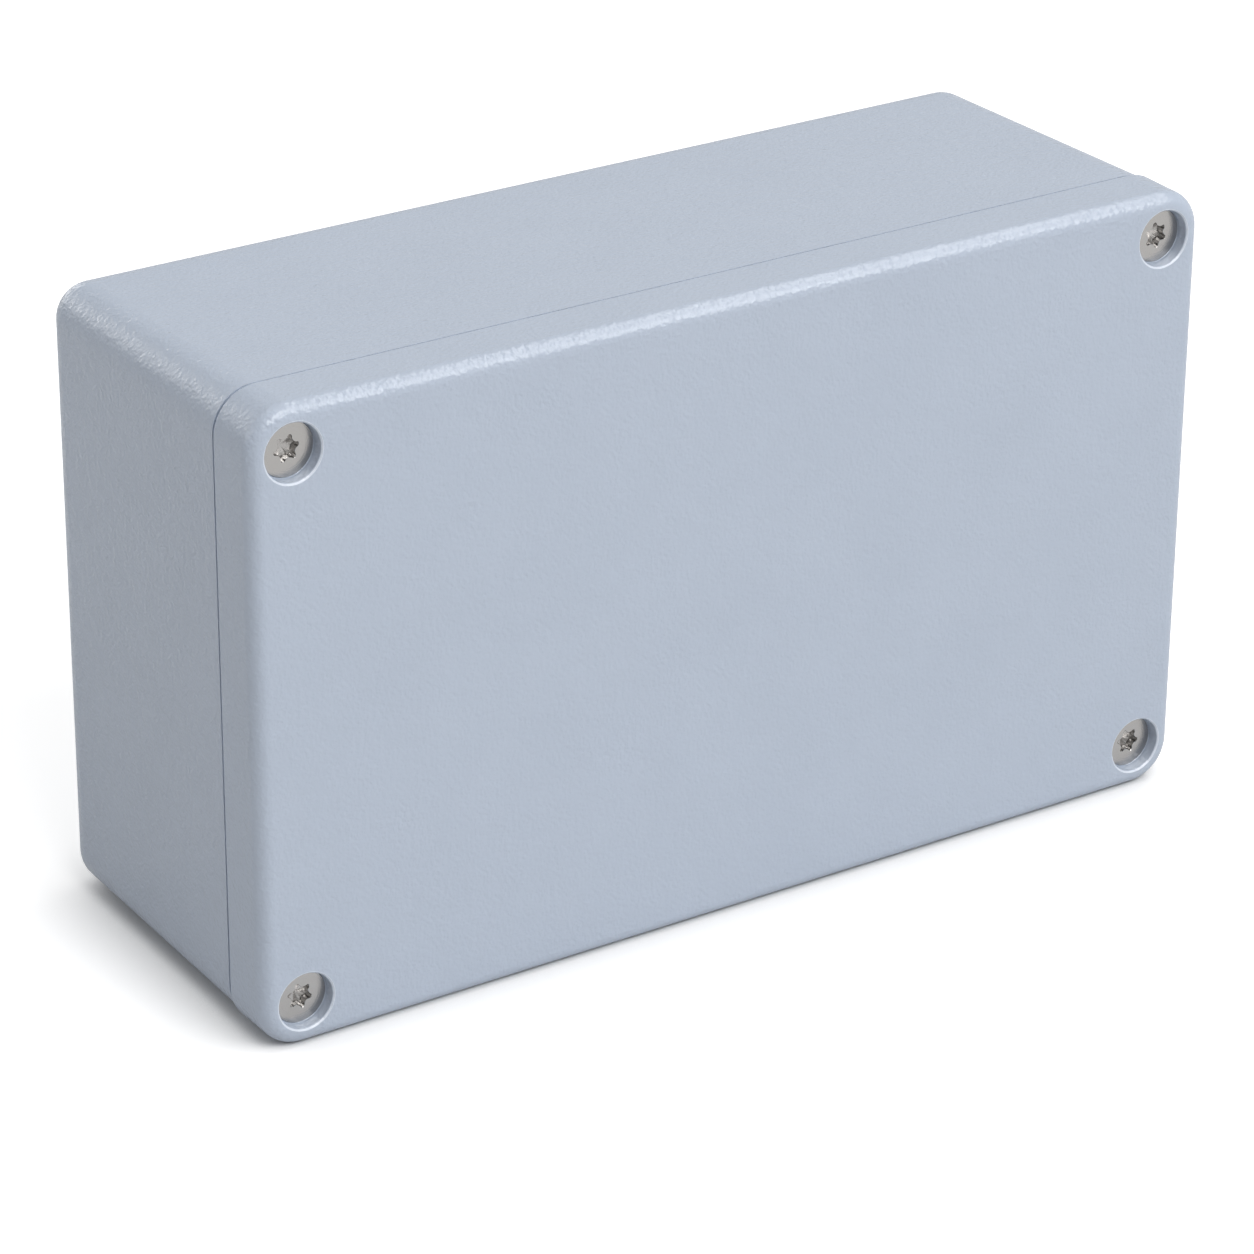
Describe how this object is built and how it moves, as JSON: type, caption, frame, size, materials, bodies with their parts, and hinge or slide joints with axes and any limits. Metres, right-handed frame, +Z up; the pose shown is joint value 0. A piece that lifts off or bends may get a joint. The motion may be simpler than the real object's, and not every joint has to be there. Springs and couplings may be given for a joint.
{
  "type": "aluminium project box",
  "caption": "Die-cast aluminium electronics enclosure: a deep rounded base closed by a flat screwed-on lid with recessed countersunk screws in its corners and a hidden seal.",
  "frame": {"origin": "centre of the bounding box's bottom, with the box standing on its long narrow side", "axes": "+X along the length, -Y out of the lid's face, +Y out of the back, +Z up"},
  "size_m": [0.22, 0.083, 0.133],
  "materials": {
    "coated_casting": "satin",
    "seal_rubber": "matte",
    "stainless_steel": "satin"
  },
  "bodies": {
    "root": {"base": "coated_casting", "lid": "coated_casting", "gasket": "seal_rubber", "lid_screw_top_left": "stainless_steel", "lid_screw_top_right": "stainless_steel", "lid_screw_bottom_left": "stainless_steel", "lid_screw_bottom_right": "stainless_steel"}
  },
  "joints": []
}
